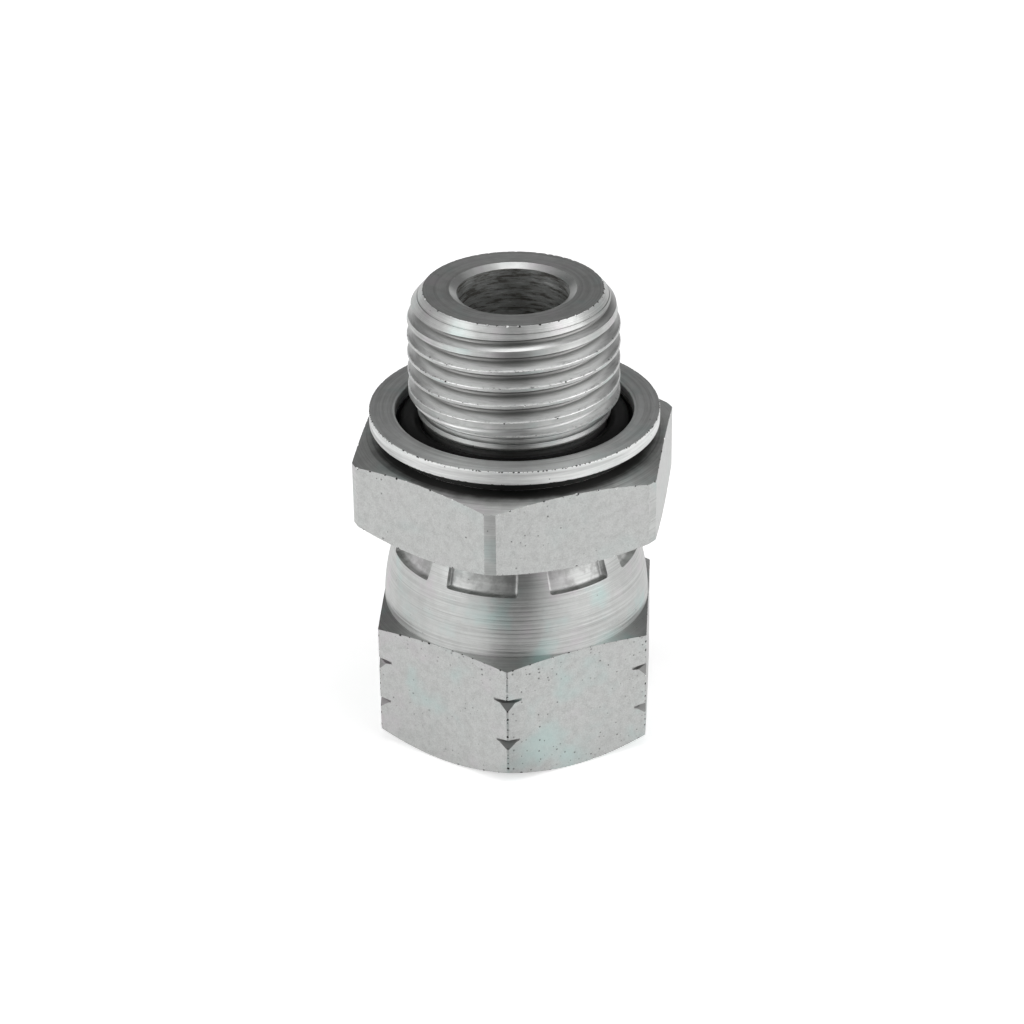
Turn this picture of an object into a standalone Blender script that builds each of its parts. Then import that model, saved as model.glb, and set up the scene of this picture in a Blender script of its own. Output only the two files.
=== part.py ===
"""Straight hydraulic adapter: a threaded stud with a captive seal, and a crimped-on swivel nut.

It stands on the swivel nut's flat face, with its axis on Z and the stud on top. The front,
which is the side that the measured angles count from, faces -Y. All lengths are in metres.
"""

import math

import bmesh
import bpy
from mathutils import Matrix

# Parallel pipe thread, the same on the stud and in the nut
THREAD_MAJOR_DIAMETER = 0.020955
THREAD_PITCH = 0.001814
THREAD_DEPTH = 0.001162
THREAD_FLANK = math.radians(27.5)
THREAD_ROOT_FLAT = 0.00026
GROOVE_OVERCUT = 0.0002

# Clearances between pieces
SWIVEL_GAP = 0.0003
SEAT_GAP = 0.0003

# Swivel nut, from its flat face upwards
NUT_ACROSS_FLATS = 0.0270
NUT_TURN = math.radians(-3.9)
NUT_HEX_HEIGHT = 0.01345
NUT_FACE_INSET = 0.0001
NUT_FACE_CHAMFER = math.radians(30)
NUT_SHOULDER_SLOPE = math.radians(12)
CORNER_TRIM = 0.00006
UPPER_NOTCH_HEIGHT = 0.00925
UPPER_NOTCH_DEPTH = 0.0007
UPPER_NOTCH_WIDTH = 0.0018
LOWER_NOTCH_HEIGHT = 0.00465
LOWER_NOTCH_DEPTH = 0.0006
LOWER_NOTCH_WIDTH = 0.0012
NUT_MOUTH_CHAMFER = 0.0013
NUT_THREAD_LENGTH = 0.0110
CAVITY_RELIEF = 0.00032

# Crimped collar of the nut
COLLAR_HEIGHT = 0.00975
COLLAR_WALL = 0.00265
COLLAR_ROLL_IN = 0.0026
LIP_HEIGHT = 0.0028
LIP_BITE = 0.0013
JAW_MARKS = 8
JAW_MARK_TURN = math.radians(-16.7)
JAW_MARK_WIDTH = math.radians(32)
JAW_MARK_START = 0.0062
JAW_MARK_DEPTH = 0.0007

# Adapter body, below its hexagon
FLANGE_SPACE = 0.0028
NOSE_SHANK = 0.0012
NOSE_HALF_ANGLE = math.radians(30)
NOSE_TIP_WALL = 0.0011
BORE_DIAMETER = 0.01106
BORE_MOUTH_WIDTH = 0.0007
BORE_MOUTH_DEPTH = 0.0004

# Adapter body, hexagon and stud
COLLAR_TO_HEX = 0.0007
BODY_ACROSS_FLATS = 0.0300
BODY_TURN = math.radians(-8.5)
BODY_HEX_HEIGHT = 0.0080
BODY_CORNER_DIAMETER = 0.0340
BODY_FACE_INSET = 0.0001
BODY_LOWER_CHAMFER = math.radians(22)
BODY_UPPER_CHAMFER = math.radians(16)
BOSS_HEIGHT = 0.0010
BOSS_SETBACK = 0.0015
SEAL_RECESS = 0.0015
STUD_LENGTH = 0.0144
STUD_CHAMFER_WIDTH = 0.00163
STUD_CHAMFER_HEIGHT = 0.0023
RELIEF_HEIGHT = 0.0034
RELIEF_DEPTH = 0.0003
RELIEF_SHOULDER = 0.00075
RELIEF_TAPER = 0.00025
RUN_OUT_ABOVE_RELIEF = 0.00045
RUN_OUT_TURNS = 0.83

# Seal of the stud
O_RING_SECTION = 0.00224
RING_WIDTH = 0.00259
RING_THICKNESS = 0.0014
RING_EDGE_BREAK = 0.00012

# Number of flats that stand in for a circle
LATHE_STEPS = 60
THREAD_STEPS = 30
O_RING_STEPS = 48
O_RING_SECTION_STEPS = 8
COLLAR_STEPS = 7
JAW_STEPS = 4

# Radii that follow from the sizes above
thread_crest = THREAD_MAJOR_DIAMETER / 2
thread_root = thread_crest - THREAD_DEPTH
bore_radius = BORE_DIAMETER / 2
cavity_radius = thread_crest + CAVITY_RELIEF
flange_radius = cavity_radius - SWIVEL_GAP
neck_radius = flange_radius - LIP_BITE
lip_radius = neck_radius + SWIVEL_GAP
nose_radius = thread_root - SWIVEL_GAP
relief_radius = thread_root - RELIEF_DEPTH
o_ring_inner = relief_radius + SEAT_GAP
o_ring_outer = o_ring_inner + O_RING_SECTION
ring_inner = o_ring_outer + SEAT_GAP
ring_outer = ring_inner + RING_WIDTH
boss_radius = ring_outer - BOSS_SETBACK

# Heights that follow from the sizes above
nut_top = NUT_HEX_HEIGHT + COLLAR_HEIGHT
lip_bottom = nut_top - LIP_HEIGHT
flange_top = lip_bottom - SWIVEL_GAP
flange_bottom = NUT_THREAD_LENGTH + FLANGE_SPACE
hex_bottom = nut_top + COLLAR_TO_HEX
hex_top = hex_bottom + BODY_HEX_HEIGHT
boss_top = hex_top + BOSS_HEIGHT
recess_floor = boss_top - SEAL_RECESS
relief_top = boss_top + RELIEF_HEIGHT
stud_top = boss_top + STUD_LENGTH


def finish(name, colour, metallic, roughness):
    """A plain material for one kind of piece."""
    material = bpy.data.materials.new(name)
    material.use_nodes = True
    shader = material.node_tree.nodes["Principled BSDF"]
    shader.inputs["Base Color"].default_value = (*colour, 1)
    shader.inputs["Metallic"].default_value = metallic
    shader.inputs["Roughness"].default_value = roughness
    return material


def add_object(name, shape, material=None):
    """Turns a bmesh into an object of the scene, with its faces pointing out."""
    bmesh.ops.recalc_face_normals(shape, faces=shape.faces)
    mesh = bpy.data.meshes.new(name)
    shape.to_mesh(mesh)
    shape.free()
    mesh.shade_smooth()
    mesh.set_sharp_from_angle(angle=math.radians(30))
    if material:
        mesh.materials.append(material)
    piece = bpy.data.objects.new(name, mesh)
    bpy.context.scene.collection.objects.link(piece)
    return piece


def turned(name, profile, material):
    """Spins a closed profile of (radius, height) points once round the Z axis."""
    shape = bmesh.new()
    points = [shape.verts.new((radius, 0, height)) for radius, height in profile]
    edges = [
        shape.edges.new(pair) for pair in zip(points, points[1:] + points[:1])
    ]
    bmesh.ops.spin(
        shape,
        geom=points + edges,
        axis=(0, 0, 1),
        angle=math.tau,
        steps=LATHE_STEPS,
        use_merge=True,
    )
    return add_object(name, shape, material)


def around(angle, radius, height):
    """The point at an angle from the front, counted anticlockwise from above."""
    return (radius * math.sin(angle), -radius * math.cos(angle), height)


def lofted(name, rings):
    """Skins a row of closed rings that have equally many points, and closes both ends."""
    shape = bmesh.new()
    rows = [[shape.verts.new(point) for point in ring] for ring in rings]
    for row, following in zip(rows, rows[1:]):
        for i, corner in enumerate(row):
            shape.faces.new((corner, row[i - 1], following[i - 1], following[i]))
    shape.faces.new(rows[0])
    shape.faces.new(rows[-1])
    return add_object(name, shape)


def hexagon_bar(name, across_flats, turn, height):
    """Hexagon bar stock that is longer than the piece made from it at both ends."""
    shape = bmesh.new()
    corner = across_flats / 2 / math.cos(math.pi / 6)
    bmesh.ops.create_cone(
        shape,
        cap_ends=True,
        segments=6,
        radius1=corner,
        radius2=corner,
        depth=2 * height,
        matrix=Matrix.Translation((0, 0, height / 2)) @ Matrix.Rotation(turn, 4, "Z"),
    )
    return add_object(name, shape)


def combine(piece, operation, cutter):
    """Keeps a Boolean with a hidden cutter on the piece."""
    step = piece.modifiers.new(cutter.name, "BOOLEAN")
    step.operation = operation
    step.solver = "EXACT"
    step.object = cutter
    cutter.display_type = "WIRE"
    cutter.hide_render = True


def thread_groove(name, crest_radius, root_radius, first_angle, bottom, top, run_out):
    """The V groove of a right-hand thread, wound upwards from bottom to past top.

    Over its first run_out turns the groove sinks from the crest to its full depth.
    """
    outwards = math.copysign(1, crest_radius - root_radius)
    open_reach = THREAD_DEPTH + GROOVE_OVERCUT
    open_half = THREAD_ROOT_FLAT / 2 + open_reach * math.tan(THREAD_FLANK)
    section = (
        (0, -THREAD_ROOT_FLAT / 2),
        (open_reach, -open_half),
        (open_reach, open_half),
        (0, THREAD_ROOT_FLAT / 2),
    )
    steps = math.ceil((top - bottom) / THREAD_PITCH * THREAD_STEPS)
    rings = []
    for step in range(steps + 1):
        turns = step / THREAD_STEPS
        lift = THREAD_DEPTH * max(0, 1 - turns / run_out) if run_out else 0
        angle = first_angle + turns * math.tau
        centre = bottom + turns * THREAD_PITCH
        rings.append(
            [
                around(angle, root_radius + outwards * (lift + reach), centre + rise)
                for reach, rise in section
            ]
        )
    return lofted(name, rings)


def arc_block(name, section, middle, width):
    """Sweeps a section of (radius, height) points along an arc round its middle angle."""
    rings = []
    for step in range(JAW_STEPS + 1):
        angle = middle + width * (step / JAW_STEPS - 0.5)
        rings.append([around(angle, radius, height) for radius, height in section])
    return lofted(name, rings)


def notch(corner_radius, height, depth, width):
    """The three profile points of a V notch turned into the corners of a hexagon."""
    return [
        (corner_radius, height - width / 2),
        (corner_radius - depth, height),
        (corner_radius, height + width / 2),
    ]


def collar_outline():
    """The collar's outside: one arc, upright at its base, that rolls in towards the top."""
    arc_radius = (COLLAR_HEIGHT**2 + COLLAR_ROLL_IN**2) / (2 * COLLAR_ROLL_IN)
    sweep = math.asin(COLLAR_HEIGHT / arc_radius)
    outline = []
    for step in range(COLLAR_STEPS + 1):
        turn = sweep * step / COLLAR_STEPS
        radius = cavity_radius + COLLAR_WALL - arc_radius * (1 - math.cos(turn))
        outline.append((radius, NUT_HEX_HEIGHT + arc_radius * math.sin(turn)))
    return outline


def collar_radius_at(outline, height):
    """The collar's radius at a height, read between the points of its outline."""
    for (low_radius, low), (high_radius, high) in zip(outline, outline[1:]):
        if height <= high:
            share = (height - low) / (high - low)
            return low_radius + share * (high_radius - low_radius)
    return outline[-1][0]


def make_swivel_nut(material):
    """Hexagon nut turned from bar, with its collar crimped in over the body's flange."""
    corner = NUT_ACROSS_FLATS / 2 / math.cos(math.pi / 6) - CORNER_TRIM
    face_radius = NUT_ACROSS_FLATS / 2 - NUT_FACE_INSET
    chamfer_top = (corner - face_radius) * math.tan(NUT_FACE_CHAMFER)
    collar = collar_outline()
    shoulder_drop = (corner - collar[0][0]) * math.tan(NUT_SHOULDER_SLOPE)
    profile = [
        (face_radius, 0),
        (corner, chamfer_top),
        *notch(corner, LOWER_NOTCH_HEIGHT, LOWER_NOTCH_DEPTH, LOWER_NOTCH_WIDTH),
        *notch(corner, UPPER_NOTCH_HEIGHT, UPPER_NOTCH_DEPTH, UPPER_NOTCH_WIDTH),
        (corner, NUT_HEX_HEIGHT - shoulder_drop),
        *collar,
        (lip_radius, nut_top),
        (lip_radius, lip_bottom),
        (cavity_radius, lip_bottom),
        (cavity_radius, NUT_THREAD_LENGTH),
        (thread_root, NUT_THREAD_LENGTH),
        (thread_root, NUT_MOUTH_CHAMFER),
        (thread_root + NUT_MOUTH_CHAMFER, 0),
    ]
    nut = turned("swivel_nut", profile, material)
    combine(
        nut,
        "INTERSECT",
        hexagon_bar("nut_bar", NUT_ACROSS_FLATS, NUT_TURN, nut_top),
    )
    tap = thread_groove(
        "nut_tap",
        thread_root,
        thread_crest,
        0,
        -THREAD_PITCH,
        NUT_THREAD_LENGTH + THREAD_PITCH,
        0,
    )
    combine(nut, "DIFFERENCE", tap)
    mark_bottom = NUT_HEX_HEIGHT + JAW_MARK_START
    mark_top = nut_top + JAW_MARK_DEPTH
    floor_bottom = collar_radius_at(collar, mark_bottom) - JAW_MARK_DEPTH
    floor_top = collar[-1][0] - JAW_MARK_DEPTH
    outside = collar[0][0] + JAW_MARK_DEPTH
    section = (
        (floor_bottom, mark_bottom),
        (outside, mark_bottom),
        (outside, mark_top),
        (floor_top, mark_top),
    )
    for count in range(JAW_MARKS):
        middle = JAW_MARK_TURN + math.tau * count / JAW_MARKS
        jaw = arc_block(f"crimp_jaw_{count + 1}", section, middle, JAW_MARK_WIDTH)
        combine(nut, "DIFFERENCE", jaw)
    return nut


def make_adapter_body(material):
    """One bar turned to a cone nose, flange, neck, hexagon, seal seat and threaded stud."""
    corner = BODY_CORNER_DIAMETER / 2
    face_radius = BODY_ACROSS_FLATS / 2 - BODY_FACE_INSET
    chamfer_width = corner - face_radius
    nose_tip = bore_radius + NOSE_TIP_WALL
    cone_top = flange_bottom - NOSE_SHANK
    cone_height = (nose_radius - nose_tip) / math.tan(NOSE_HALF_ANGLE)
    shoulder_radius = thread_crest - RELIEF_SHOULDER
    profile = [
        (bore_radius, cone_top - cone_height),
        (nose_tip, cone_top - cone_height),
        (nose_radius, cone_top),
        (nose_radius, flange_bottom),
        (flange_radius, flange_bottom),
        (flange_radius, flange_top),
        (neck_radius, flange_top),
        (neck_radius, hex_bottom),
        (face_radius, hex_bottom),
        (corner, hex_bottom + chamfer_width * math.tan(BODY_LOWER_CHAMFER)),
        (corner, hex_top - chamfer_width * math.tan(BODY_UPPER_CHAMFER)),
        (face_radius, hex_top),
        (boss_radius, hex_top),
        (boss_radius, boss_top),
        (ring_inner, boss_top),
        (ring_inner, recess_floor),
        (relief_radius, recess_floor),
        (relief_radius, boss_top + O_RING_SECTION / 2),
        (shoulder_radius - RELIEF_TAPER, relief_top - RELIEF_SHOULDER),
        (shoulder_radius, relief_top - RELIEF_TAPER),
        (thread_crest, relief_top),
        (thread_crest, stud_top - STUD_CHAMFER_HEIGHT),
        (thread_crest - STUD_CHAMFER_WIDTH, stud_top),
        (bore_radius + BORE_MOUTH_WIDTH, stud_top),
        (bore_radius, stud_top - BORE_MOUTH_DEPTH),
    ]
    body = turned("adapter_body", profile, material)
    combine(
        body,
        "INTERSECT",
        hexagon_bar("body_bar", BODY_ACROSS_FLATS, BODY_TURN, stud_top),
    )
    half_run_out = RUN_OUT_TURNS / 2
    die = thread_groove(
        "stud_die",
        thread_crest,
        thread_root,
        -half_run_out * math.tau,
        relief_top + RUN_OUT_ABOVE_RELIEF - half_run_out * THREAD_PITCH,
        stud_top + THREAD_PITCH,
        RUN_OUT_TURNS,
    )
    combine(body, "DIFFERENCE", die)
    return body


def make_retaining_ring(material):
    """Flat steel ring with broken edges, which keeps the seal from spreading."""
    edge = RING_EDGE_BREAK
    profile = [
        (ring_inner, 0),
        (ring_outer - edge, 0),
        (ring_outer, edge),
        (ring_outer, RING_THICKNESS - edge),
        (ring_outer - edge, RING_THICKNESS),
        (ring_inner, RING_THICKNESS),
    ]
    ring = turned("retaining_ring", profile, material)
    ring.location.z = boss_top + SEAT_GAP
    return ring


def make_o_ring(material):
    """Round-section rubber ring that lies in the recess between stud and steel ring."""
    radius = O_RING_SECTION / 2
    bpy.ops.mesh.primitive_torus_add(
        major_segments=O_RING_STEPS,
        minor_segments=O_RING_SECTION_STEPS,
        major_radius=o_ring_inner + radius,
        minor_radius=radius,
        location=(0, 0, recess_floor + SEAT_GAP + radius),
    )
    seal = bpy.context.object
    seal.name = "o_ring"
    seal.data.name = "o_ring"
    seal.data.shade_smooth()
    seal.data.materials.append(material)
    return seal


def main():
    """Clears the scene, makes the four pieces and hangs them on one empty."""
    for leftover in list(bpy.data.objects):
        bpy.data.objects.remove(leftover, do_unlink=True)
    steel = finish("zinc plated steel", (0.60, 0.61, 0.60), 1.0, 0.38)
    ring_steel = finish("pressed steel", (0.50, 0.51, 0.50), 1.0, 0.42)
    rubber = finish("black seal rubber", (0.02, 0.02, 0.02), 0.0, 0.45)
    body = make_adapter_body(steel)
    nut = make_swivel_nut(steel)
    ring = make_retaining_ring(ring_steel)
    seal = make_o_ring(rubber)
    axis = bpy.data.objects.new("adapter_axis", None)
    bpy.context.scene.collection.objects.link(axis)
    body.parent = axis
    nut.parent = axis
    ring.parent = body
    seal.parent = body


main()
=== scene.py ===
import math
import random

import bpy
from mathutils import Matrix, Vector


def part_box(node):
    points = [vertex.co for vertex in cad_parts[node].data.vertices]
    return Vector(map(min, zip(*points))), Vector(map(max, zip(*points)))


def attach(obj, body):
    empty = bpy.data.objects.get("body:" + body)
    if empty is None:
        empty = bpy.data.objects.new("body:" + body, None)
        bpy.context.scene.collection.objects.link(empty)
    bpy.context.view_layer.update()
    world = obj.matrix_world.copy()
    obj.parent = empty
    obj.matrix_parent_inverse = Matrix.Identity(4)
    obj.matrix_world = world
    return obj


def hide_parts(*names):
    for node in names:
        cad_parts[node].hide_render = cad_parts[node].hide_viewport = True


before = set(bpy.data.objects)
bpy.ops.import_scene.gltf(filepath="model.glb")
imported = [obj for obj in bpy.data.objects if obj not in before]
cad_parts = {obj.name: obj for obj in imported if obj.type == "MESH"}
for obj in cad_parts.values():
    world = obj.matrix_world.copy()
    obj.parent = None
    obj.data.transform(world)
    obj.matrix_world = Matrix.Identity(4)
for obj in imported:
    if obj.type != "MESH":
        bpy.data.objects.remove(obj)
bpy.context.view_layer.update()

# The camera stands where the photograph was taken from: in front, 31 centimetres away and 28
# degrees above the level, with a long lens that hardly narrows the nut.
MM = 0.001
CAMERA_DISTANCE = 306.12 * MM
CAMERA_ELEVATION = 0.49565
CAMERA_ROLL = -0.01194
CAMERA_SIDESTEP = -0.37 * MM
AIM_HEIGHT = 22.53 * MM
SENSOR_WIDTH = 36.0
FOCAL_LENGTH = 106.47
CLIP_START = 0.01
CLIP_END = 10.0

camera_data = bpy.data.cameras.new("photo_camera")
camera_data.sensor_fit = "HORIZONTAL"
camera_data.sensor_width = SENSOR_WIDTH
camera_data.lens = FOCAL_LENGTH
camera_data.clip_start = CLIP_START
camera_data.clip_end = CLIP_END
camera = bpy.data.objects.new("photo_camera", camera_data)
bpy.context.scene.collection.objects.link(camera)
camera_place = Vector((
    CAMERA_SIDESTEP,
    -CAMERA_DISTANCE * math.cos(CAMERA_ELEVATION),
    AIM_HEIGHT + CAMERA_DISTANCE * math.sin(CAMERA_ELEVATION),
))
camera.matrix_world = (
    Matrix.Translation(camera_place)
    @ Matrix.Rotation(math.pi / 2 - CAMERA_ELEVATION, 4, "X")
    @ Matrix.Rotation(CAMERA_ROLL, 4, "Z")
)
bpy.context.scene.camera = camera
bpy.context.scene.view_settings.view_transform = "Standard"


# The studio is a white table in a pale room: a wide soft light on each side and one overhead, a
# dark gap in front of the table's edge, and a grey wall behind. In the metal's reflections the
# table in front is painted dark, a painted reflection of that gap.
class Wire:
    """A socket of a node tree. Arithmetic on wires adds the Math nodes that it needs."""

    def __init__(self, tree, socket=None):
        self.tree = tree
        self.socket = socket

    def node(self, kind, settings=(), inputs=(), output=0):
        """Adds a node: its settings first, then the values or wires of its sockets."""
        made = self.tree.nodes.new(kind)
        for name, setting in dict(settings).items():
            setattr(made, name, setting)
        for name, value in dict(inputs).items():
            if isinstance(value, Wire):
                self.tree.links.new(value.socket, made.inputs[name])
            else:
                made.inputs[name].default_value = value
        return Wire(self.tree, made.outputs[output])

    def maths(self, operation, *operands):
        return self.node("ShaderNodeMath", {"operation": operation}, enumerate(operands))

    def __add__(self, other):
        return self.maths("ADD", self, other)

    def __sub__(self, other):
        return self.maths("SUBTRACT", self, other)

    def __rsub__(self, other):
        return self.maths("SUBTRACT", other, self)

    def __mul__(self, other):
        return self.maths("MULTIPLY", self, other)

    def __truediv__(self, other):
        return self.maths("DIVIDE", self, other)

    def __pow__(self, other):
        return self.maths("POWER", self, other)

    __radd__ = __add__
    __rmul__ = __mul__

    def rise(self, low, high):
        """0 below low, 1 above high and smooth between them. It falls if low is above high."""
        flipped = low > high
        inputs = {"Value": self, "From Min": min(low, high), "From Max": max(low, high)}
        inputs.update({"To Min": float(flipped), "To Max": float(not flipped)})
        return self.node("ShaderNodeMapRange", {"interpolation_type": "SMOOTHSTEP"}, inputs)

    def split(self):
        """The three parts of a vector or colour."""
        parts = self.node("ShaderNodeSeparateXYZ", (), {"Vector": self}).socket.node.outputs
        return [Wire(self.tree, part) for part in parts]

    def joined(self, *parts):
        return self.node("ShaderNodeCombineXYZ", (), enumerate(parts))

    def noise(self, scale, detail=2.0, roughness=0.5):
        """Cloudy noise at this place, about 0.5 on average."""
        inputs = {"Vector": self, "Scale": scale, "Detail": detail, "Roughness": roughness}
        return self.node("ShaderNodeTexNoise", (), inputs)

    def specks(self, scale, size, chance):
        """1 in small round specks: each cell has one of at most this size, by this chance."""
        distance = self.node("ShaderNodeTexVoronoi", (), {"Vector": self, "Scale": scale})
        lot, other_lot = Wire(self.tree, distance.socket.node.outputs["Color"]).split()[:2]
        reach = distance / (0.4 + 0.6 * other_lot)
        return reach.rise(size, 0.5 * size) * lot.rise(1 - chance, 1.001 - chance)

    def mix(self, share, colour, other):
        """A colour that goes from one to the other with the share."""
        inputs = {"Factor": share, 6: colour, 7: other}
        return self.node("ShaderNodeMix", {"data_type": "RGBA"}, inputs, output=2)


FLOOR_SIZE = 3.0
FLOOR_COLOUR = (0.86, 0.86, 0.86, 1)
FLOOR_DROP = 0.02 * MM
GLOW_TO_CAMERA = 0.48
GLOW_TO_METAL = 0.28
ROOM_WHITE = 0.80
ROOM_BEHIND = 0.13
ROOM_FRONT = 0.12
GAP_EDGE = 0.88
GAP_CORE = 0.98
PAINTED_GAP_REFLECTION = 0.55
NOT_ZERO = 0.001

bpy.ops.mesh.primitive_plane_add(size=FLOOR_SIZE, location=(0, 0, -FLOOR_DROP))
floor = bpy.context.object
floor.name = "floor"
floor_finish = bpy.data.materials.new("white table")
floor_finish.use_nodes = True
floor.data.materials.append(floor_finish)
tree = floor_finish.node_tree
tree.nodes.clear()
board = Wire(tree)
across, along = board.node("ShaderNodeTexCoord", output="Object").split()[:2]
level = (across * across + along * along) ** 0.5
gap = (along / (level + NOT_ZERO)).rise(-GAP_EDGE, -GAP_CORE)
seen = board.node("ShaderNodeLightPath", output="Is Camera Ray")
mirrored = board.node("ShaderNodeLightPath", output="Is Glossy Ray")
mirrored = mirrored + board.node("ShaderNodeLightPath", output="Is Transmission Ray")
strength = seen * GLOW_TO_CAMERA + mirrored * GLOW_TO_METAL
table = board.node("ShaderNodeBsdfDiffuse", (), {"Color": FLOOR_COLOUR})
glow = board.node("ShaderNodeEmission", (), {"Strength": strength})
lit = board.node("ShaderNodeAddShader", (), {0: table, 1: glow})
# painted reflection: only mirror rays see the table in front as dark, as if the gap beyond its
# edge showed there
painted_dark_reflection = board.node("ShaderNodeEmission", (), {"Strength": ROOM_FRONT})
surface = board.node("ShaderNodeMixShader", (), {0: PAINTED_GAP_REFLECTION * mirrored * gap, 1: lit, 2: painted_dark_reflection})
tree.links.new(surface.socket, tree.nodes.new("ShaderNodeOutputMaterial").inputs["Surface"])

world = bpy.data.worlds.new("studio")
bpy.context.scene.world = world
world.use_nodes = True
tree = world.node_tree
room = Wire(tree)
across, along, up = room.node("ShaderNodeTexCoord", output="Generated").split()
level = (across * across + along * along) ** 0.5
facing = along / (level + NOT_ZERO)
behind = facing.rise(0.2, 0.85) * up.rise(0.1, 0.4) * up.rise(1.0, 0.85)
front = facing.rise(-GAP_EDGE, -GAP_CORE) * up.rise(0.98, 0.85)
sky = ROOM_WHITE + behind * (ROOM_BEHIND - ROOM_WHITE)
sky = sky + front * (ROOM_FRONT - sky)
seen = room.node("ShaderNodeLightPath", output="Is Camera Ray")
strength = sky + seen * (1 - sky)
tree.links.new(strength.socket, tree.nodes["Background"].inputs["Strength"])
tree.nodes["Background"].inputs["Color"].default_value = (1, 1, 1, 1)


def soft_light(name, place, size, power):
    """A square soft light that points at the middle of the adapter."""
    data = bpy.data.lights.new(name, "AREA")
    data.shape = "SQUARE"
    data.size = size
    data.energy = power
    lamp = bpy.data.objects.new(name, data)
    bpy.context.scene.collection.objects.link(lamp)
    lamp.location = place
    aim = Vector((0, 0, AIM_HEIGHT)) - lamp.location
    lamp.rotation_euler = aim.to_track_quat("-Z", "Y").to_euler()


soft_light("left_light", (-0.56, -0.26, 0.38), 0.40, 0.75)
soft_light("right_light", (0.58, -0.20, 0.36), 0.50, 1.1)
soft_light("top_light", (0, -0.03, 0.80), 0.36, 0.65)


# The adapter body is one piece of steel bar, turned on a lathe from the sealing cone inside
# the nut up to the threaded stud, with a third of a millimetre turned off each corner of its
# hexagon. The stud's thread is cut by a die, whose grooves run out just above the relief.
LATHE_STEPS = 256
THREAD_STEPS = 128
ROOT_STEPS = 4
SHOULDER_STEPS = 3
EDGE_ROUND = 0.1 * MM
SHARP = math.radians(25)
SMOOTH_ANGLE = math.radians(30)
TOUCH = 0.02 * MM
SAME_POINT = 0.001 * MM

PITCH = 1.814 * MM
THREAD_RADIUS = 10.4775 * MM
THREAD_DEPTH = 1.162 * MM
THREAD_ROOT = THREAD_RADIUS - THREAD_DEPTH
THREAD_FLANK = math.radians(27.5)
THREAD_ROOT_ROUND = 0.249 * MM
THREAD_CREST_ROUND = 0.15 * MM
CREST_EXIT = math.radians(20)
GROOVE_OVERCUT = 0.25 * MM
THREAD_START = 36.75 * MM
THREAD_TURNS = 7
RUN_OUT = 0.83

BODY_FLATS = 30.0 * MM
BODY_TURN = math.radians(-8.5)
BODY_CORNER = 17.0 * MM
BODY_FACE = 14.9 * MM
BODY_TOP_SLOPE = math.tan(math.radians(16))
BODY_UNDER_SLOPE = math.tan(math.radians(22))
BORE = 5.53 * MM
RECESS = 11.8555 * MM

# (radius, height) in millimetres
STUD_CHAMFER = ((10.4775, 44.2), (10.2, 45.0), (10.0, 45.95), (8.85, 47.3))
STUD_RELIEF = ((9.2, 34.0), (9.6, 34.4), (9.6, 36.15), (10.4775, 36.3))
TOOL_MARKS = (
    (
        (9.7, 35.96), (9.46, 36.0), (9.58, 35.7), (9.56, 35.62), (9.4, 35.56),
        (9.52, 35.12), (9.5, 35.02), (9.38, 34.97), (9.52, 34.55), (9.7, 34.53),
    ),
    ((9.346, 46.872), (9.3294, 46.66), (9.541, 46.643)),
)

body_low, body_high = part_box("adapter_body")
ring_low, ring_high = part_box("retaining_ring")
seal_low, seal_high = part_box("o_ring")
nut_low, nut_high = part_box("swivel_nut")


def only(piece):
    """Makes one object the only one that is selected."""
    bpy.ops.object.select_all(action="DESELECT")
    bpy.context.view_layer.objects.active = piece
    piece.select_set(True)


def turned(name, outline, finish):
    """Draws a ring out from point to point of a closed (radius, height) outline."""
    radius, height = outline[0]
    bpy.ops.object.select_all(action="DESELECT")
    bpy.ops.mesh.primitive_circle_add(
        vertices=LATHE_STEPS, radius=radius, location=(0, 0, height)
    )
    piece = bpy.context.object
    piece.name = name
    piece.data.materials.append(finish)
    bpy.ops.object.transform_apply(location=True, rotation=False, scale=False)
    bpy.ops.object.mode_set(mode="EDIT")
    bpy.ops.mesh.select_all(action="SELECT")
    for (before, low), (radius, height) in zip(outline, outline[1:] + outline[:1]):
        bpy.ops.mesh.extrude_edges_move(TRANSFORM_OT_translate={"value": (0, 0, height - low)})
        grow = radius / before
        bpy.ops.transform.resize(value=(grow, grow, 1), center_override=(0, 0, 0))
    bpy.ops.mesh.select_all(action="SELECT")
    bpy.ops.mesh.remove_doubles(threshold=SAME_POINT)
    bpy.ops.mesh.normals_make_consistent(inside=False)
    bpy.ops.object.mode_set(mode="OBJECT")
    return piece


def hexagon_bar(name, flats, turn, height, finish):
    """Hexagon bar, longer than the piece that is made from it."""
    bpy.ops.object.select_all(action="DESELECT")
    bpy.ops.mesh.primitive_cylinder_add(
        vertices=6,
        radius=flats / 2 / math.cos(math.pi / 6),
        depth=2 * height,
        location=(0, 0, height / 2),
        rotation=(0, 0, turn),
    )
    piece = bpy.context.object
    piece.name = name
    piece.data.materials.append(finish)
    bpy.ops.object.transform_apply(location=True, rotation=True, scale=True)
    return piece


def cut(piece, operation, tool):
    """Cuts a piece with a tool, whose own finish stays on the faces that it leaves."""
    only(piece)
    step = piece.modifiers.new(tool.name, "BOOLEAN")
    step.operation = operation
    step.solver = "EXACT"
    step.material_mode = "TRANSFER"
    step.object = tool
    bpy.ops.object.modifier_apply(modifier=step.name)
    bpy.data.objects.remove(tool)


def wear_edges(piece, finish, width):
    """Breaks all sharp edges in the worn finish."""
    piece.data.materials.append(finish)
    only(piece)
    bpy.ops.object.mode_set(mode="EDIT")
    bpy.ops.mesh.select_mode(type="EDGE")
    bpy.ops.mesh.select_all(action="DESELECT")
    bpy.ops.mesh.edges_select_sharp(sharpness=SHARP)
    bpy.ops.mesh.bevel(
        offset=width,
        segments=2,
        profile=0.5,
        clamp_overlap=True,
        material=len(piece.data.materials) - 1,
    )
    bpy.ops.object.mode_set(mode="OBJECT")


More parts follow.
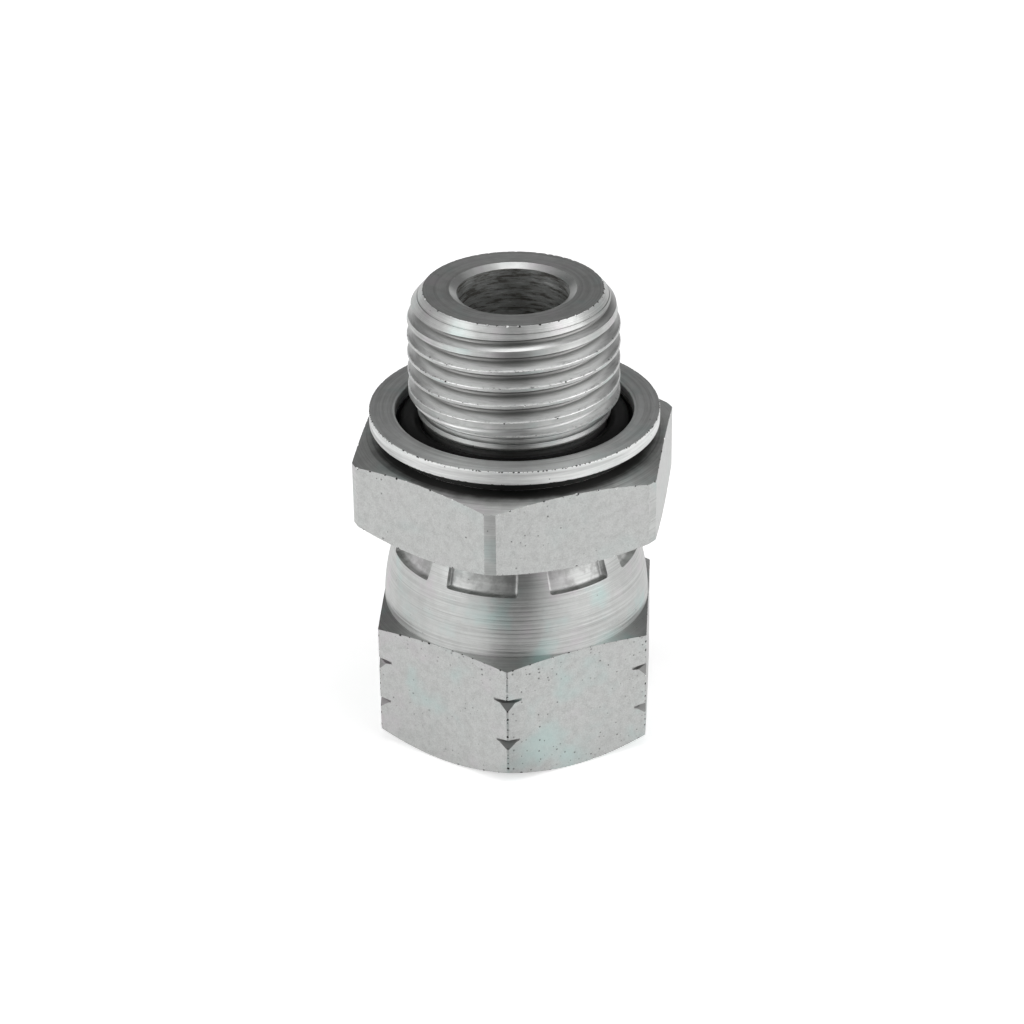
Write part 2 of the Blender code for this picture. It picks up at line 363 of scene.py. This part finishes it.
def smooth(piece, *flat_finishes):
    """Smooth shading between edges, apart from the faces of some finishes."""
    only(piece)
    bpy.ops.object.shade_smooth_by_angle(angle=SMOOTH_ANGLE)
    for face in piece.data.polygons:
        if piece.data.materials[face.material_index] in flat_finishes:
            face.use_smooth = False


def around(angle, radius, height):
    """The point at an angle from the front, counted anticlockwise from above."""
    return Vector((radius * math.sin(angle), -radius * math.cos(angle), height))


def swept(name, section, start, angle, steps, turns, climb, finish):
    """Sweeps a (radius, height) section by an angle, a number of times, in so many steps each.

    It climbs by so much each time, and its two ends stay open.
    """
    bpy.ops.object.select_all(action="DESELECT")
    bpy.ops.mesh.primitive_circle_add(vertices=len(section), radius=section[0][0])
    tool = bpy.context.object
    tool.name = name
    tool.data.materials.append(finish)
    for corner, (radius, height) in zip(tool.data.vertices, section):
        corner.co = around(start, radius, height)
    winding = tool.modifiers.new("winding", "SCREW")
    winding.angle = angle
    winding.steps = winding.render_steps = steps
    winding.iterations = turns
    winding.screw_offset = climb
    winding.use_merge_vertices = False
    bpy.ops.object.modifier_apply(modifier="winding")
    return tool


def close_ends(tool):
    """Fills the two open ends of a swept tool."""
    only(tool)
    bpy.ops.object.mode_set(mode="EDIT")
    bpy.ops.mesh.select_mode(type="EDGE")
    bpy.ops.mesh.select_all(action="DESELECT")
    bpy.ops.mesh.select_non_manifold(extend=False)
    bpy.ops.mesh.edge_face_add()
    bpy.ops.mesh.select_all(action="SELECT")
    bpy.ops.mesh.normals_make_consistent(inside=False)
    bpy.ops.object.mode_set(mode="OBJECT")


def groove_section():
    """The V of the thread as (reach, rise) points, with a round root and rounded shoulders."""
    half = []
    flank_turn = math.pi / 2 - THREAD_FLANK
    for step in range(ROOT_STEPS + 1):
        turn = flank_turn * step / ROOT_STEPS
        half.append((THREAD_ROOT_ROUND * (1 - math.cos(turn)), THREAD_ROOT_ROUND * math.sin(turn)))
    flank_start, flank_rise = half[-1]
    crest_reach = THREAD_DEPTH - THREAD_CREST_ROUND
    crest_rise = flank_rise + (crest_reach - flank_start) * math.tan(THREAD_FLANK)
    crest_rise += THREAD_CREST_ROUND / math.cos(THREAD_FLANK)
    for step in range(SHOULDER_STEPS + 1):
        turn = flank_turn + (CREST_EXIT - flank_turn) * step / SHOULDER_STEPS
        half.append((
            crest_reach + THREAD_CREST_ROUND * math.cos(turn),
            crest_rise - THREAD_CREST_ROUND * math.sin(turn),
        ))
    reach, rise = half[-1]
    half.append((reach + GROOVE_OVERCUT, rise + GROOVE_OVERCUT / 3))
    return [(reach, -rise) for reach, rise in reversed(half[1:])] + half


def thread_tool(name, root, outwards, start, bottom, turns, run_out, finish):
    """The thread's groove wound upwards; it sinks to its full depth over run_out turns."""
    section = [(root + outwards * reach, bottom + rise) for reach, rise in groove_section()]
    tool = swept(name, section, start, math.tau, THREAD_STEPS, turns, PITCH, finish)
    for index in range(int(run_out * THREAD_STEPS) * len(section)):
        corner = tool.data.vertices[index]
        turn = index // len(section) / THREAD_STEPS
        lift = outwards * THREAD_DEPTH * (1 - turn / run_out)
        corner.co.xy *= 1 + lift / corner.co.xy.length
    close_ends(tool)
    return tool


def dents(name, places, finish):
    """One tool of many little balls, each at an angle, radius and height, of some size."""
    balls = []
    for angle, radius, height, size in places:
        bpy.ops.mesh.primitive_ico_sphere_add(
            subdivisions=2, radius=size, location=around(angle, radius, height)
        )
        balls.append(bpy.context.object)
    only(balls[0])
    for ball in balls:
        ball.select_set(True)
    bpy.ops.object.join()
    tool = bpy.context.object
    tool.name = name
    bpy.ops.object.transform_apply(location=True, rotation=True, scale=True)
    tool.data.materials.append(finish)
    return tool


SMALLEST_DENT = 0.06 * MM
DENT_STAND_OFF = 0.45


def edge_dents(lot, flats, turn, rim, height, slope, corner, count, largest):
    """Places on the six arcs where a hexagon's flats meet the cone turned on its end."""
    places = []
    for flat in range(6):
        for cell in range(count):
            offset = ((cell + lot.uniform(0.2, 0.8)) / count - 0.5) * math.pi / 3
            radius = min(flats / 2 / math.cos(offset), corner)
            size = SMALLEST_DENT + (largest - SMALLEST_DENT) * lot.random() ** 2
            angle = turn + (flat + 0.5) * math.pi / 3 + offset
            level = height - (radius - rim) * slope
            places.append((angle, radius + DENT_STAND_OFF * size, level, size))
    return places


def new_finish(name, metallic=1.0):
    """A material, its Principled shader, and a wire at the place on the piece."""
    material = bpy.data.materials.new(name)
    material.use_nodes = True
    shader = material.node_tree.nodes["Principled BSDF"]
    shader.inputs["Metallic"].default_value = metallic
    place = Wire(material.node_tree).node("ShaderNodeTexCoord", output="Object")
    return material, shader, place


def connect(shader, **wires):
    """Links wires to the shader's sockets, named with an underscore for a space."""
    for name, wire in wires.items():
        wire.tree.links.new(wire.socket, shader.inputs[name.replace("_", " ")])


def distance_from_axis(place):
    across, along = place.split()[:2]
    return (across * across + along * along) ** 0.5


STEEL = (0.61, 0.62, 0.61, 1)
STEEL_DARK = (0.30, 0.30, 0.295, 1)
STEEL_BRIGHT = (0.86, 0.87, 0.86, 1)
TEAL_TINT = (0.48, 0.62, 0.60, 1)
ROSE_TINT = (0.62, 0.555, 0.60, 1)
DIRT = (0.06, 0.06, 0.058, 1)
# the bore's dull brown, darkened further as painted shade inside the hole
BORE_BROWN_AND_SHADE = (0.275, 0.26, 0.245, 1)
STEEL_FLANK = (0.72, 0.725, 0.72, 1)
RING_STEEL = (0.72, 0.73, 0.725, 1)
STEEL_RIM = (0.92, 0.93, 0.92, 1)
LATHE_SPREAD = 0.5
SEAT_SPREAD = 0.8
ROUND_THE_AXIS = 0.25
LANE_SLOPE = 0.73
# how the painted shade under the retaining ring wobbles at its edge, leans to the front, fades out
# and stays black
SHADE_EDGE_WOBBLE = 1.0 * MM
SHADE_LEAN_TO_FRONT = 0.09
SHADE_FADE = 1.5 * MM
SHADE_CORE = 0.4 * MM


def spread_round_the_axis(shader, spread=LATHE_SPREAD):
    """Draws the highlights out across lathe lines, which run round the axis."""
    shader.inputs["Anisotropic"].default_value = spread
    shader.inputs["Anisotropic Rotation"].default_value = ROUND_THE_AXIS


def turned_steel(name, rough, line_width, line_depth, tint, stained, colour=STEEL, shaded_within=0.0):
    """Zinc plated steel as the lathe leaves it, with fine lines that run round the axis.

    Inside about the radius given for shade, it is painted black: painted shade under the retaining
    ring, which reaches further out towards the front.
    """
    material, shader, place = new_finish(name)
    across, along, up = place.split()
    radius = distance_from_axis(place)
    lane = up - LANE_SLOPE * radius
    lines = place.joined(across * 60, along * 60, lane / line_width).noise(1.0, 5.0, 0.7)
    patches = place.noise(230, 3.0)
    specks = place.specks(1500, 0.16, 0.12)
    stain = place.noise(700, 4.0, 0.65)
    shade = place.mix(0.5 * lines.rise(0.62, 0.3), colour, STEEL_DARK)
    shade = place.mix(stained * stain.rise(0.6, 0.35), shade, STEEL_DARK)
    shade = place.mix(patches.rise(0.5, 0.75) * tint, shade, TEAL_TINT)
    shade = place.mix(patches.rise(0.46, 0.25) * tint, shade, ROSE_TINT)
    shade = place.mix(0.7 * specks, shade, DIRT)
    # painted shade under the retaining ring: black inside the radius, fading outwards and leaning
    # out towards the front
    if shaded_within:
        shade_reach = radius + SHADE_LEAN_TO_FRONT * along
        shade_reach = shade_reach + SHADE_EDGE_WOBBLE * (place.noise(500, 4.0) - 0.5) + SHADE_EDGE_WOBBLE * (lines - 0.5)
        shade = place.mix(shade_reach.rise(shaded_within + SHADE_FADE, shaded_within - SHADE_CORE), shade, DIRT)
    spread_round_the_axis(shader, SEAT_SPREAD if shaded_within else LATHE_SPREAD)
    relief = place.node("ShaderNodeBump", (), {"Height": lines, "Distance": line_depth})
    connect(shader, Base_Color=shade, Roughness=rough + 0.12 * (lines - 0.5), Normal=relief)
    return material


def drawn_steel(name, rough, pitted, tint):
    """The bar's own cold drawn flats: an even satin skin with small pits and faint tints."""
    material, shader, place = new_finish(name)
    grain = place.noise(7000, 3.0, 0.75)
    blotch = place.noise(1300, 5.0, 0.7)
    crowd = place.noise(240, 2.0)
    pit = place.specks(2300, 0.34, pitted) * crowd.rise(0.36, 0.6)
    spot = place.specks(900, 0.17, 0.7 * pitted) * crowd.rise(0.42, 0.6)
    patches = place.noise(200, 3.0)
    dullness = 0.35 * grain.rise(0.3, 0.7) + 0.2 * blotch.rise(0.6, 0.35)
    shade = place.mix(dullness, STEEL, STEEL_DARK)
    shade = place.mix(tint * patches.rise(0.5, 0.75), shade, TEAL_TINT)
    shade = place.mix(0.6 * tint * patches.rise(0.45, 0.25), shade, ROSE_TINT)
    shade = place.mix(0.62 * (pit + spot), shade, DIRT)
    height = 0.5 * grain + 0.35 * blotch - 1.5 * (pit + spot)
    relief = place.node("ShaderNodeBump", (), {"Height": height, "Distance": 0.012 * MM})
    connect(shader, Base_Color=shade, Roughness=rough + 0.2 * pit, Normal=relief)
    return material


def threaded_steel(name, root, crest):
    """Thread flanks, darker towards the root with cutting oil and painted shade, and rubbed bright
    on the crest.
    """
    material, shader, place = new_finish(name)
    across, along, up = place.split()
    radius = distance_from_axis(place)
    lines = place.joined(across * 300, along * 300, up * 6500).noise(1.0, 4.0, 0.7)
    tears = place.joined(across, along, 2.0 * up).noise(1900, 4.0, 0.7)
    edge = radius.rise(root + 0.7 * (crest - root), crest)
    # darker towards the root: cutting oil and painted shade under the crest above
    out_of_root_shade_and_oil = radius.rise(root, root + 0.6 * (crest - root))
    shade = place.mix(out_of_root_shade_and_oil, STEEL_DARK, STEEL_FLANK)
    shade = place.mix(0.45 * lines.rise(0.55, 0.3), shade, STEEL_DARK)
    shade = place.mix(0.8 * edge * tears.rise(0.45, 0.6), shade, STEEL_BRIGHT)
    shade = place.mix(0.7 * edge * tears.rise(0.42, 0.34), shade, DIRT)
    spread_round_the_axis(shader)
    height = 0.6 * lines + 2.0 * edge * tears
    relief = place.node("ShaderNodeBump", (), {"Height": height, "Distance": 0.02 * MM})
    connect(shader, Base_Color=shade, Roughness=0.34 + 0.2 * (lines - 0.5), Normal=relief)
    return material


def worn_steel(name, bright):
    """Edges that have lost part of their plating: bright burrs with dirt between them."""
    material, shader, place = new_finish(name)
    dots = place.noise(2400, 2.0, 0.6)
    shade = place.mix(dots.rise(bright - 0.03, bright + 0.05), STEEL_BRIGHT, DIRT)
    connect(shader, Base_Color=shade, Roughness=0.42 + 0.2 * dots)
    return material


def bored_steel(name):
    """The drilled bore: dull, and dark brown partly as painted shade inside the hole, with pale
    smears where the drill's lips rubbed.
    """
    material, shader, place = new_finish(name)
    across, along, up = place.split()
    smears = place.joined(across, along, 7.0 * up).noise(420, 6.0, 0.75)
    shade = place.mix(smears.rise(0.4, 0.52), BORE_BROWN_AND_SHADE, STEEL)
    shade = place.mix(smears.rise(0.54, 0.66), shade, STEEL_RIM)
    relief = place.node("ShaderNodeBump", (), {"Height": smears, "Distance": 0.05 * MM})
    connect(shader, Base_Color=shade, Roughness=0.42 + 0.3 * (smears - 0.5), Normal=relief)
    return material


# name, roughness, width and depth of the lines, share of tint and of stain
turned_finish = turned_steel("turned plated steel", 0.34, 0.16 * MM, 0.006 * MM, 0.5, 0.25)
thread_finish = threaded_steel("die cut thread", THREAD_ROOT, THREAD_RADIUS)
drawn_finish = drawn_steel("drawn plated flats", 0.36, 0.12, 0.2)
worn_finish = worn_steel("worn bright edge", 0.55)
nicked_finish = worn_steel("nicks", 0.48)
bore_finish = bored_steel("drilled bore")
# radius inside which the seat is painted black as shade under the ring
RING_SHADE_RADIUS = 13.4 * MM
shaded_seat_finish = turned_steel("seat with painted shade under the ring", 0.48, 0.16 * MM, 0.008 * MM, 0.4, 0.2, shaded_within=RING_SHADE_RADIUS)


def paint(piece, finish, chosen):
    """Gives a finish to the faces whose middle (radius, height) is chosen."""
    piece.data.materials.append(finish)
    for face in piece.data.polygons:
        if chosen(face.center.xy.length, face.center.z):
            face.material_index = len(piece.data.materials) - 1


BOSS = ring_high.x - 1.5 * MM
BOSS_TOP = ring_low.z - TOUCH
RECESS_FLOOR = seal_low.z - TOUCH
HEX_TOP = 31.9 * MM
HEX_BOTTOM = 23.9 * MM
SEAT_DEPTH = 0.7 * MM
NOSE_WALL = 1.1 * MM
NOSE_RADIUS = 9.0135 * MM
CONE_TOP = 12.6 * MM
FLANGE_BOTTOM = 13.8 * MM
FLANGE_TOP = 20.1 * MM
FLANGE_RADIUS = 10.4975 * MM
NECK_RADIUS = 9.1975 * MM
MOUTH_WIDTH = 0.7 * MM
MOUTH_DEPTH = 0.4 * MM
body_outline = [
    (BORE, body_low.z),
    (BORE + NOSE_WALL, body_low.z),
    (NOSE_RADIUS, CONE_TOP),
    (NOSE_RADIUS, FLANGE_BOTTOM),
    (FLANGE_RADIUS, FLANGE_BOTTOM),
    (FLANGE_RADIUS, FLANGE_TOP),
    (NECK_RADIUS, FLANGE_TOP),
    (NECK_RADIUS, HEX_BOTTOM),
    (BODY_FACE, HEX_BOTTOM),
    (BODY_CORNER, HEX_BOTTOM + (BODY_CORNER - BODY_FACE) * BODY_UNDER_SLOPE),
    (BODY_CORNER, HEX_TOP - (BODY_CORNER - BODY_FACE) * BODY_TOP_SLOPE),
    (BODY_FACE, HEX_TOP),
    (BOSS, HEX_TOP),
    (BOSS, BOSS_TOP),
    (RECESS, BOSS_TOP),
    (RECESS, RECESS_FLOOR),
    (STUD_RELIEF[0][0] * MM, RECESS_FLOOR),
    *[(radius * MM, height * MM) for radius, height in STUD_RELIEF],
    *[(radius * MM, height * MM) for radius, height in STUD_CHAMFER],
    (BORE + MOUTH_WIDTH, body_high.z),
    (BORE, body_high.z - MOUTH_DEPTH),
]
body = turned("adapter_body_steel", body_outline, turned_finish)
paint(body, bore_finish, lambda radius, height: radius < BORE + TOUCH)
# the seat round the boss, under the ring, gets the painted shade
paint(
    body,
    shaded_seat_finish,
    lambda radius, height: (
        RECESS - TOUCH < radius and HEX_TOP - SEAT_DEPTH < height < BOSS_TOP + TOUCH
    ),
)
cut(body, "INTERSECT", hexagon_bar("body_bar", BODY_FLATS, BODY_TURN, body_high.z, drawn_finish))
wear_edges(body, worn_finish, EDGE_ROUND)
lot = random.Random(30)
body_dents = edge_dents(
    lot, BODY_FLATS, BODY_TURN, BODY_FACE, HEX_TOP, BODY_TOP_SLOPE, BODY_CORNER, 11, 0.25 * MM
)
body_dents += edge_dents(
    lot, BODY_FLATS, BODY_TURN, BODY_FACE, HEX_BOTTOM, -BODY_UNDER_SLOPE, BODY_CORNER, 7, 0.2 * MM
)

# nicks round the stud's top edge, and on the crests of the first turns of its thread
TOP_NICKS = 56
THREAD_NICKS = 64
NICKED_SHARE = 0.8
top_radius = STUD_CHAMFER[-1][0] * MM
for cell in range(TOP_NICKS):
    angle = (cell + lot.uniform(0.3, 0.7)) / TOP_NICKS * math.tau
    size = lot.uniform(0.07, 0.27) * MM
    body_dents.append((angle, top_radius + 0.4 * size, body_high.z + 0.45 * size, size))
for cell in range(THREAD_NICKS):
    turn = (cell + lot.uniform(0.2, 0.8)) / THREAD_NICKS * THREAD_TURNS * NICKED_SHARE
    angle = turn * math.tau - math.pi
    height = THREAD_START + (turn + 0.5) * PITCH - RUN_OUT / 2 * PITCH
    size = lot.uniform(0.06, 0.13) * MM
    if height < STUD_CHAMFER[0][1] * MM:
        body_dents.append((angle, THREAD_RADIUS + 0.3 * size, height, size))
cut(body, "DIFFERENCE", dents("body_dents", body_dents, nicked_finish))
for number, mark in enumerate(TOOL_MARKS):
    mark = [(radius * MM, height * MM) for radius, height in mark]
    cut(body, "DIFFERENCE", turned(f"tool_mark_{number + 1}", mark, turned_finish))
die = thread_tool(
    "stud_die",
    THREAD_ROOT,
    outwards=1,
    start=-RUN_OUT / 2 * math.tau,
    bottom=THREAD_START - RUN_OUT / 2 * PITCH,
    turns=THREAD_TURNS,
    run_out=RUN_OUT,
    finish=thread_finish,
)
cut(body, "DIFFERENCE", die)
smooth(body, drawn_finish, worn_finish, nicked_finish)
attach(body, "adapter")
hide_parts("adapter_body")


# The retaining ring is punched from steel plate and plated: a dull flat face, a rim painted
# brighter as a painted highlight, a rounded inner edge and nicks along the outer one. It holds the
# rubber seal in under pressure.
RING_ROUND = 0.35 * MM
RING_ROUND_STEPS = 5
RING_EDGE_ROUND = 0.08 * MM
RING_NICKS = 190
NICK_INSET = 0.02 * MM
ring_outline = [(RECESS, ring_low.z), (ring_high.x, ring_low.z), (ring_high.x, ring_high.z)]
for step in range(RING_ROUND_STEPS + 1):
    turn = math.pi / 2 * step / RING_ROUND_STEPS
    ring_outline.append((
        RECESS + RING_ROUND * (1 - math.sin(turn)),
        ring_high.z - RING_ROUND * (1 - math.cos(turn)),
    ))
ring_finish = turned_steel("punched ring steel", 0.46, 0.3 * MM, 0.004 * MM, 0.3, 0.15, RING_STEEL)
# the rim is brighter steel than the face: a painted highlight
rim_finish_painted_bright = turned_steel("punched ring rim painted bright", 0.55, 0.7 * MM, 0.006 * MM, 0.1, 0.05, STEEL_RIM)
ring_worn_finish = worn_steel("worn ring edge", 0.60)
dirty_finish = worn_steel("dirty worn edge", 0.42)
ring = turned("retaining_ring_steel", ring_outline, ring_finish)
paint(ring, rim_finish_painted_bright, lambda radius, height: radius > ring_high.x - TOUCH / 2)
wear_edges(ring, ring_worn_finish, RING_EDGE_ROUND)
ring_dents = []
for cell in range(RING_NICKS):
    size = lot.uniform(0.03, 0.13) * MM
    angle = (cell + lot.uniform(0.3, 0.7)) / RING_NICKS * math.tau
    ring_dents.append((angle, ring_high.x - NICK_INSET, ring_high.z + 0.2 * size, size))
cut(ring, "DIFFERENCE", dents("ring_dents", ring_dents, dirty_finish))
smooth(ring, ring_worn_finish, dirty_finish)
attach(ring, "adapter")
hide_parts("retaining_ring")


# The seal is a moulded rubber ring of round section. It lies in the recess round the stud's
# foot, a little below the face of the steel ring, until the port squeezes it.
RUBBER = (0.004, 0.004, 0.004, 1)
RUBBER_SPECULAR = 0.14
SEAL_STEPS = 192
SEAL_SECTION_STEPS = 40
seal_radius = (seal_high.z - seal_low.z) / 2
bpy.ops.object.select_all(action="DESELECT")
bpy.ops.mesh.primitive_torus_add(
    major_segments=SEAL_STEPS,
    minor_segments=SEAL_SECTION_STEPS,
    major_radius=seal_high.x - seal_radius,
    minor_radius=seal_radius,
    location=(0, 0, seal_low.z + seal_radius),
)
seal = bpy.context.object
seal.name = "seal_rubber_ring"
bpy.ops.object.transform_apply(location=True, rotation=False, scale=False)
bpy.ops.object.shade_smooth()
rubber, shader, place = new_finish("black seal rubber", metallic=0.0)
shader.inputs["Base Color"].default_value = RUBBER
shader.inputs["Specular IOR Level"].default_value = RUBBER_SPECULAR
dust = place.noise(900, 3.0)
connect(shader, Roughness=0.34 + 0.15 * dust)
seal.data.materials.append(rubber)
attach(seal, "adapter")
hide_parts("o_ring")


# The swivel nut is turned from hexagon bar, with two V grooves across its corners. Its thin
# collar is rolled in over the body's flange and pinched by eight jaws, so that the nut turns
# on the body but can't come off.
NUT_FLATS = 27.0 * MM
NUT_TURN = math.radians(-3.9)
NUT_CORNER = 15.528 * MM
NUT_FACE = 13.4 * MM
NUT_FACE_SLOPE = math.tan(math.radians(30))
SHOULDER_SLOPE = math.tan(math.radians(12))
NUT_EDGE_ROUND = 0.07 * MM
COLLAR_RADIUS = 13.45 * MM
COLLAR_BASE = 13.45 * MM
COLLAR_ARC = 19.6 * MM
LINE_DEPTH = 0.024 * MM
LIP = 9.4975 * MM
LIP_BOTTOM = 20.4 * MM
CAVITY = 10.7975 * MM
NUT_THREAD_TOP = 11.0 * MM
NUT_MOUTH = 1.3 * MM
TAP_TURNS = 8

# (depth, height) in millimetres
NUT_GROOVES = (
    (0, 4.0), (0.42, 4.7), (0.56, 4.8), (0.56, 5.02), (0, 5.1),
    (0, 8.5), (0.36, 9.28), (0.67, 9.4), (0.67, 9.66), (0, 9.76),
)
GROOVE_FLOOR = NUT_CORNER - 0.68 * MM
GROOVED_FROM = 2.0 * MM
GROOVED_TO = 11.0 * MM


def collar_radius(height):
    """The radius of the rolled collar: upright at its base, closing in towards its top."""
    return COLLAR_RADIUS - COLLAR_ARC + math.sqrt(COLLAR_ARC**2 - (height - COLLAR_BASE) ** 2)


FEED = 0.42 * MM
FEED_LINE = ((0, 0), (0.06, 1), (0.1, 1), (0.16, 0), (0.24, 0.2), (0.33, 0))
RUBBED_ABOVE = 17.5 * MM
RUBBED_DEPTH = 0.4
BASE_GROOVE = 0.035 * MM
shoulder = COLLAR_BASE - (NUT_CORNER - COLLAR_RADIUS) * SHOULDER_SLOPE
collar_outline = [
    (COLLAR_RADIUS, COLLAR_BASE),
    (COLLAR_RADIUS, COLLAR_BASE + 0.2 * MM),
    (COLLAR_RADIUS - BASE_GROOVE, COLLAR_BASE + 0.36 * MM),
    (COLLAR_RADIUS - BASE_GROOVE, COLLAR_BASE + 0.46 * MM),
    (collar_radius(COLLAR_BASE + 0.62 * MM), COLLAR_BASE + 0.62 * MM),
]
lot = random.Random(27)
height = COLLAR_BASE + 0.75 * MM
while height < LIP_BOTTOM - FEED:
    wear = 1.0 if height < RUBBED_ABOVE else RUBBED_DEPTH
    depth = lot.uniform(0.4, 1.0) * wear * LINE_DEPTH
    for rise, share in FEED_LINE:
        level = height + rise * MM
        collar_outline.append((collar_radius(level) - share * depth, level))
    height += FEED * lot.uniform(0.95, 1.2)
for height in (21.2 * MM, 22.2 * MM, nut_high.z):
    collar_outline.append((collar_radius(height), height))
nut_outline = [
    (NUT_FACE, nut_low.z),
    (NUT_CORNER, (NUT_CORNER - NUT_FACE) * NUT_FACE_SLOPE),
    *[(NUT_CORNER - depth * MM, height * MM) for depth, height in NUT_GROOVES],
    (NUT_CORNER, shoulder),
    *collar_outline,
    (LIP, nut_high.z),
    (LIP, LIP_BOTTOM),
    (CAVITY, LIP_BOTTOM),
    (CAVITY, NUT_THREAD_TOP),
    (THREAD_ROOT, NUT_THREAD_TOP),
    (THREAD_ROOT, NUT_MOUTH),
    (THREAD_ROOT + NUT_MOUTH, nut_low.z),
]
collar_finish = turned_steel("turned collar", 0.34, 0.14 * MM, 0.008 * MM, 0.8, 0.15)
nut = turned("swivel_nut_steel", nut_outline, collar_finish)
pitted_finish = drawn_steel("pitted plated flats", 0.37, 0.34, 0.6)
# the V grooves are coloured dark steel: painted shade in the grooves
groove_finish_painted_dark = turned_steel("turned grooves painted dark", 0.45, 0.2 * MM, 0.004 * MM, 0.6, 0.6, STEEL_DARK)
paint(
    nut,
    groove_finish_painted_dark,
    lambda radius, height: (
        GROOVE_FLOOR < radius < NUT_CORNER - TOUCH and GROOVED_FROM < height < GROOVED_TO
    ),
)
cut(nut, "INTERSECT", hexagon_bar("nut_bar", NUT_FLATS, NUT_TURN, nut_high.z, pitted_finish))
wear_edges(nut, dirty_finish, NUT_EDGE_ROUND)
nut_dents = edge_dents(
    lot, NUT_FLATS, NUT_TURN, COLLAR_RADIUS, COLLAR_BASE, SHOULDER_SLOPE, NUT_CORNER, 11, 0.2 * MM
)
nut_dents += edge_dents(
    lot, NUT_FLATS, NUT_TURN, NUT_FACE, 0, -NUT_FACE_SLOPE, NUT_CORNER, 9, 0.18 * MM
)
CORNER_CELL = 0.42 * MM
CORNER_START = 1.8 * MM
for corner in range(6):
    height = CORNER_START
    while height < shoulder - CORNER_CELL:
        size = lot.uniform(0.05, 0.15) * MM
        angle = NUT_TURN + corner * math.pi / 3
        nut_dents.append((angle, NUT_CORNER + 0.3 * size, height, size))
        height += CORNER_CELL * lot.uniform(0.75, 2.4)
cut(nut, "DIFFERENCE", dents("nut_dents", nut_dents, dirty_finish))

# the angles in degrees between which each jaw pressed
CRIMPS = (
    (-78, -45.2), (-33.9, 0.4), (15.4, 46.8), (57.4, 89),
    (102, 134.5), (147, 179.3), (192, 224.6), (237, 269.4),
)
CRIMP_BOTTOM = 19.65 * MM
CRIMP_DEPTH = 0.7 * MM
CRIMP_FLARE = 0.09
CRIMP_ROUND = 0.26 * MM
CRIMP_SHARP = math.radians(50)
CRIMP_STEPS = 16
crimp_top = nut_high.z + CRIMP_DEPTH
crimp_section = (
    (collar_radius(CRIMP_BOTTOM) - CRIMP_DEPTH, CRIMP_BOTTOM),
    (COLLAR_RADIUS, CRIMP_BOTTOM),
    (COLLAR_RADIUS, crimp_top),
    (collar_radius(nut_high.z) - CRIMP_DEPTH, crimp_top),
)
pressed_finish = turned_steel("pressed by the jaws", 0.42, 0.5 * MM, 0.01 * MM, 0.2, 0.7)
jaws = []
for first, last in CRIMPS:
    middle = math.radians(first + last) / 2
    jaw = swept(
        "jaw",
        crimp_section,
        start=math.radians(first),
        angle=math.radians(last - first),
        steps=CRIMP_STEPS,
        turns=1,
        climb=0,
        finish=pressed_finish,
    )
    for corner in jaw.data.vertices:
        share = (corner.co.z - CRIMP_BOTTOM) / (crimp_top - CRIMP_BOTTOM)
        turn = math.atan2(corner.co.x, -corner.co.y) - middle
        turn = (turn + math.pi) % math.tau - math.pi
        wide = middle + turn * (1 + CRIMP_FLARE * share)
        corner.co = around(wide, corner.co.xy.length, corner.co.z)
    close_ends(jaw)
    bpy.ops.object.mode_set(mode="EDIT")
    bpy.ops.mesh.select_all(action="DESELECT")
    bpy.ops.mesh.edges_select_sharp(sharpness=CRIMP_SHARP)
    bpy.ops.mesh.bevel(offset=CRIMP_ROUND, segments=3, profile=0.5, clamp_overlap=True)
    bpy.ops.object.mode_set(mode="OBJECT")
    jaws.append(jaw)
only(jaws[0])
for jaw in jaws:
    jaw.select_set(True)
bpy.ops.object.join()
cut(nut, "DIFFERENCE", bpy.context.object)

tapped_finish = threaded_steel("tapped thread", THREAD_RADIUS, THREAD_ROOT)
tap = thread_tool(
    "nut_tap",
    THREAD_RADIUS,
    outwards=-1,
    start=0,
    bottom=-PITCH,
    turns=TAP_TURNS,
    run_out=0,
    finish=tapped_finish,
)
cut(nut, "DIFFERENCE", tap)
smooth(nut, pitted_finish, dirty_finish)
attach(nut, "swivel_nut")
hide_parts("swivel_nut")
